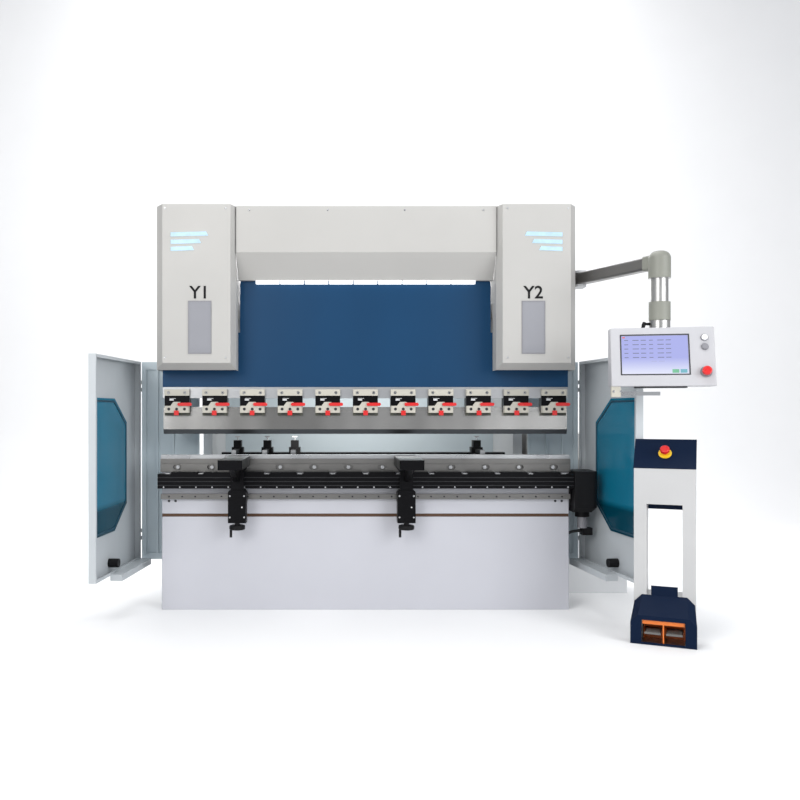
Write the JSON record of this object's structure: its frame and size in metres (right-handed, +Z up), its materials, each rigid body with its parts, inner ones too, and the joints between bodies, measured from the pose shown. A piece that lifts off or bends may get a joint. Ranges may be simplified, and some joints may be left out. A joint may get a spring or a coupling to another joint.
{
  "type": "press brake",
  "caption": "Hydraulic press brake with a downstroking ram, quick-clamp punches, back gauge, front sheet supports, side doors, swinging control pendant and foot-switch pedestal.",
  "frame": {"origin": "on the floor, under the middle of the bending line", "axes": "+X along the bending line to the operator's right, +Y to the rear, +Z up"},
  "size_m": [3.3837, 2.0904, 2.445],
  "materials": {
    "frame_paint": "satin light grey paint",
    "bed_paint": "satin bluish-grey paint",
    "cover_paint": "satin warm grey paint",
    "ram_paint": "semi-gloss blue paint",
    "tool_steel": "ground",
    "table_steel": "ground",
    "rod_chrome": "polished",
    "black_metal": "black anodised or painted",
    "clamp_cream": "satin cream paint",
    "lever_red": "gloss",
    "light_diffuser": "glowing diffuser",
    "cable_black": "matte",
    "door_paint": "satin light blue-grey paint",
    "panel_paint": "fine textured light grey paint",
    "boom_metal": "satin",
    "navy_paint": "satin dark navy paint",
    "column_paint": "satin light grey paint",
    "switch_orange": "gloss orange paint",
    "pedal_grey": "ribbed casting",
    "button_white": "satin",
    "button_grey": "satin",
    "stop_red": "gloss",
    "gauge_black": "black finish on metal"
  },
  "bodies": {
    "machine": {"side_frames": "frame_paint", "frame_ties_and_gibs": "frame_paint", "boom_bracket": "frame_paint", "bed_beam": "bed_paint", "crowning_table": "table_steel", "table_bolts": "table_steel", "vee_die": "tool_steel", "front_beam": "black_metal", "guide_rail": "tool_steel", "drive_box": "black_metal", "drive_cable": "cable_black", "cylinder_covers": "cover_paint", "upper_cover": "cover_paint", "light_bars": "light_diffuser", "hydraulics": "black_metal", "guard_panels": "frame_paint", "electrical_cabinet": "cover_paint", "gauge_rails": "gauge_black", "pedestal_column": "column_paint", "pedestal_cap": "navy_paint", "pedal_guard": "navy_paint", "foot_switch": "switch_orange"},
    "ram": {"ram_beam": "ram_paint", "piston_rods": "rod_chrome", "clamp_bodies": "black_metal", "clamp_plates": "clamp_cream", "punches": "tool_steel"},
    "clamp_lever_01": {"clamp_lever_01": "lever_red"},
    "clamp_lever_02": {"clamp_lever_02": "lever_red"},
    "clamp_lever_03": {"clamp_lever_03": "lever_red"},
    "clamp_lever_04": {"clamp_lever_04": "lever_red"},
    "clamp_lever_05": {"clamp_lever_05": "lever_red"},
    "clamp_lever_06": {"clamp_lever_06": "lever_red"},
    "clamp_lever_07": {"clamp_lever_07": "lever_red"},
    "clamp_lever_08": {"clamp_lever_08": "lever_red"},
    "clamp_lever_09": {"clamp_lever_09": "lever_red"},
    "clamp_lever_10": {"clamp_lever_10": "lever_red"},
    "clamp_lever_11": {"clamp_lever_11": "lever_red"},
    "gauge_carriage": {"gauge_carriage": "gauge_black"},
    "gauge_beam": {"gauge_beam": "gauge_black"},
    "gauge_finger_1": {"gauge_finger_1": "gauge_black"},
    "gauge_finger_2": {"gauge_finger_2": "gauge_black"},
    "gauge_finger_3": {"gauge_finger_3": "gauge_black"},
    "gauge_finger_4": {"gauge_finger_4": "gauge_black"},
    "left_support_carriage": {"left_support_carriage": "black_metal"},
    "left_support_arm": {"left_support_arm": "black_metal"},
    "left_support_wheel": {"left_support_wheel": "black_metal"},
    "right_support_carriage": {"right_support_carriage": "black_metal"},
    "right_support_arm": {"right_support_arm": "black_metal"},
    "right_support_wheel": {"right_support_wheel": "black_metal"},
    "left_door": {"left_door": "door_paint"},
    "right_door": {"right_door": "door_paint"},
    "boom": {"boom": "boom_metal"},
    "control_panel": {"control_panel": "panel_paint"},
    "start_button": {"start_button": "button_white"},
    "stop_button": {"stop_button": "button_grey"},
    "panel_estop": {"panel_estop": "stop_red"},
    "pedestal_estop": {"pedestal_estop": "stop_red"},
    "left_pedal": {"left_pedal": "pedal_grey"},
    "right_pedal": {"right_pedal": "pedal_grey"}
  },
  "joints": [
    {"name": "ram_stroke", "type": "slide", "parent": "machine", "child": "ram", "axis": [0, 0, 1], "range_m": [-0.12, 0.08]},
    {"name": "clamp_lever_01_turn", "type": "hinge", "parent": "ram", "child": "clamp_lever_01", "pos_m": [-1.139, -0.06, 1.259], "axis": [0, -1, 0], "range_deg": [0, 75]},
    {"name": "clamp_lever_02_turn", "type": "hinge", "parent": "ram", "child": "clamp_lever_02", "pos_m": [-0.908, -0.06, 1.259], "axis": [0, -1, 0], "range_deg": [0, 75]},
    {"name": "clamp_lever_03_turn", "type": "hinge", "parent": "ram", "child": "clamp_lever_03", "pos_m": [-0.677, -0.06, 1.259], "axis": [0, -1, 0], "range_deg": [0, 75]},
    {"name": "clamp_lever_04_turn", "type": "hinge", "parent": "ram", "child": "clamp_lever_04", "pos_m": [-0.446, -0.06, 1.259], "axis": [0, -1, 0], "range_deg": [0, 75]},
    {"name": "clamp_lever_05_turn", "type": "hinge", "parent": "ram", "child": "clamp_lever_05", "pos_m": [-0.215, -0.06, 1.259], "axis": [0, -1, 0], "range_deg": [0, 75]},
    {"name": "clamp_lever_06_turn", "type": "hinge", "parent": "ram", "child": "clamp_lever_06", "pos_m": [0.016, -0.06, 1.259], "axis": [0, -1, 0], "range_deg": [0, 75]},
    {"name": "clamp_lever_07_turn", "type": "hinge", "parent": "ram", "child": "clamp_lever_07", "pos_m": [0.247, -0.06, 1.259], "axis": [0, -1, 0], "range_deg": [0, 75]},
    {"name": "clamp_lever_08_turn", "type": "hinge", "parent": "ram", "child": "clamp_lever_08", "pos_m": [0.478, -0.06, 1.259], "axis": [0, -1, 0], "range_deg": [0, 75]},
    {"name": "clamp_lever_09_turn", "type": "hinge", "parent": "ram", "child": "clamp_lever_09", "pos_m": [0.709, -0.06, 1.259], "axis": [0, -1, 0], "range_deg": [0, 75]},
    {"name": "clamp_lever_10_turn", "type": "hinge", "parent": "ram", "child": "clamp_lever_10", "pos_m": [0.94, -0.06, 1.259], "axis": [0, -1, 0], "range_deg": [0, 75]},
    {"name": "clamp_lever_11_turn", "type": "hinge", "parent": "ram", "child": "clamp_lever_11", "pos_m": [1.171, -0.06, 1.259], "axis": [0, -1, 0], "range_deg": [0, 75]},
    {"name": "gauge_depth", "type": "slide", "parent": "machine", "child": "gauge_carriage", "axis": [0, 1, 0], "range_m": [-0.06, 0.44]},
    {"name": "gauge_height", "type": "slide", "parent": "gauge_carriage", "child": "gauge_beam", "axis": [0, 0, 1], "range_m": [-0.04, 0.06]},
    {"name": "gauge_finger_1_shift", "type": "slide", "parent": "gauge_beam", "child": "gauge_finger_1", "axis": [1, 0, 0], "range_m": [-0.05, 0.05]},
    {"name": "gauge_finger_2_shift", "type": "slide", "parent": "gauge_beam", "child": "gauge_finger_2", "axis": [1, 0, 0], "range_m": [-0.05, 0.05]},
    {"name": "gauge_finger_3_shift", "type": "slide", "parent": "gauge_beam", "child": "gauge_finger_3", "axis": [1, 0, 0], "range_m": [-0.05, 0.05]},
    {"name": "gauge_finger_4_shift", "type": "slide", "parent": "gauge_beam", "child": "gauge_finger_4", "axis": [1, 0, 0], "range_m": [-0.05, 0.05]},
    {"name": "left_support_shift", "type": "slide", "parent": "machine", "child": "left_support_carriage", "axis": [1, 0, 0], "range_m": [-0.35, 0.4]},
    {"name": "left_support_height", "type": "slide", "parent": "left_support_carriage", "child": "left_support_arm", "axis": [0, 0, 1], "range_m": [-0.035, 0.06]},
    {"name": "left_support_wheel_turn", "type": "hinge", "parent": "left_support_carriage", "child": "left_support_wheel", "pos_m": [-0.775, -0.138, 0.52], "axis": [0, 0, 1], "range_deg": [-1262, 2164]},
    {"name": "right_support_shift", "type": "slide", "parent": "machine", "child": "right_support_carriage", "axis": [1, 0, 0], "range_m": [-0.45, 0.85]},
    {"name": "right_support_height", "type": "slide", "parent": "right_support_carriage", "child": "right_support_arm", "axis": [0, 0, 1], "range_m": [-0.035, 0.06]},
    {"name": "right_support_wheel_turn", "type": "hinge", "parent": "right_support_carriage", "child": "right_support_wheel", "pos_m": [0.243, -0.138, 0.52], "axis": [0, 0, 1], "range_deg": [-1262, 2164]},
    {"name": "left_door_swing", "type": "hinge", "parent": "machine", "child": "left_door", "pos_m": [-1.486, 0.262, 0.9], "axis": [0, 0, -1], "range_deg": [-5, 85]},
    {"name": "right_door_swing", "type": "hinge", "parent": "machine", "child": "right_door", "pos_m": [1.438, 0.262, 0.9], "axis": [0, 0, 1], "range_deg": [-6, 84]},
    {"name": "boom_swing", "type": "hinge", "parent": "machine", "child": "boom", "pos_m": [1.312, -0.062, 2.024], "axis": [0, 0, 1], "range_deg": [-34, 2]},
    {"name": "panel_swivel", "type": "hinge", "parent": "boom", "child": "control_panel", "pos_m": [1.565, -0.667, 1.7], "axis": [0, 0, 1], "range_deg": [-4, 25]},
    {"name": "start_button_press", "type": "slide", "parent": "control_panel", "child": "start_button", "axis": [0.2021, 0.951, -0.2338], "range_m": [0, 0.004], "stiffness_N_per_m": 500, "springref_m": -0.004},
    {"name": "stop_button_press", "type": "slide", "parent": "control_panel", "child": "stop_button", "axis": [0.2021, 0.951, -0.2338], "range_m": [0, 0.004], "stiffness_N_per_m": 500, "springref_m": -0.004},
    {"name": "panel_estop_press", "type": "slide", "parent": "control_panel", "child": "panel_estop", "axis": [0.2021, 0.951, -0.2338], "range_m": [0, 0.005], "stiffness_N_per_m": 800, "springref_m": -0.004},
    {"name": "pedestal_estop_press", "type": "slide", "parent": "machine", "child": "pedestal_estop", "axis": [0.2973, 0.6679, -0.6823], "range_m": [0, 0.005], "stiffness_N_per_m": 1200, "springref_m": -0.006},
    {"name": "left_pedal_press", "type": "hinge", "parent": "machine", "child": "left_pedal", "pos_m": [1.55825, -0.75269, 0.058], "axis": [0.9135, -0.4067, 0], "range_deg": [0, 8], "stiffness_Nm_per_rad": 8, "springref_deg": -8.59},
    {"name": "right_pedal_press", "type": "hinge", "parent": "machine", "child": "right_pedal", "pos_m": [1.55825, -0.75269, 0.058], "axis": [0.9135, -0.4067, 0], "range_deg": [0, 8], "stiffness_Nm_per_rad": 8, "springref_deg": -8.59}
  ],
  "couplings": [
    {"joint": "left_support_wheel_turn", "follows": "left_support_height", "rad_per_m": 628.32},
    {"joint": "right_support_wheel_turn", "follows": "right_support_height", "rad_per_m": 628.32}
  ]
}
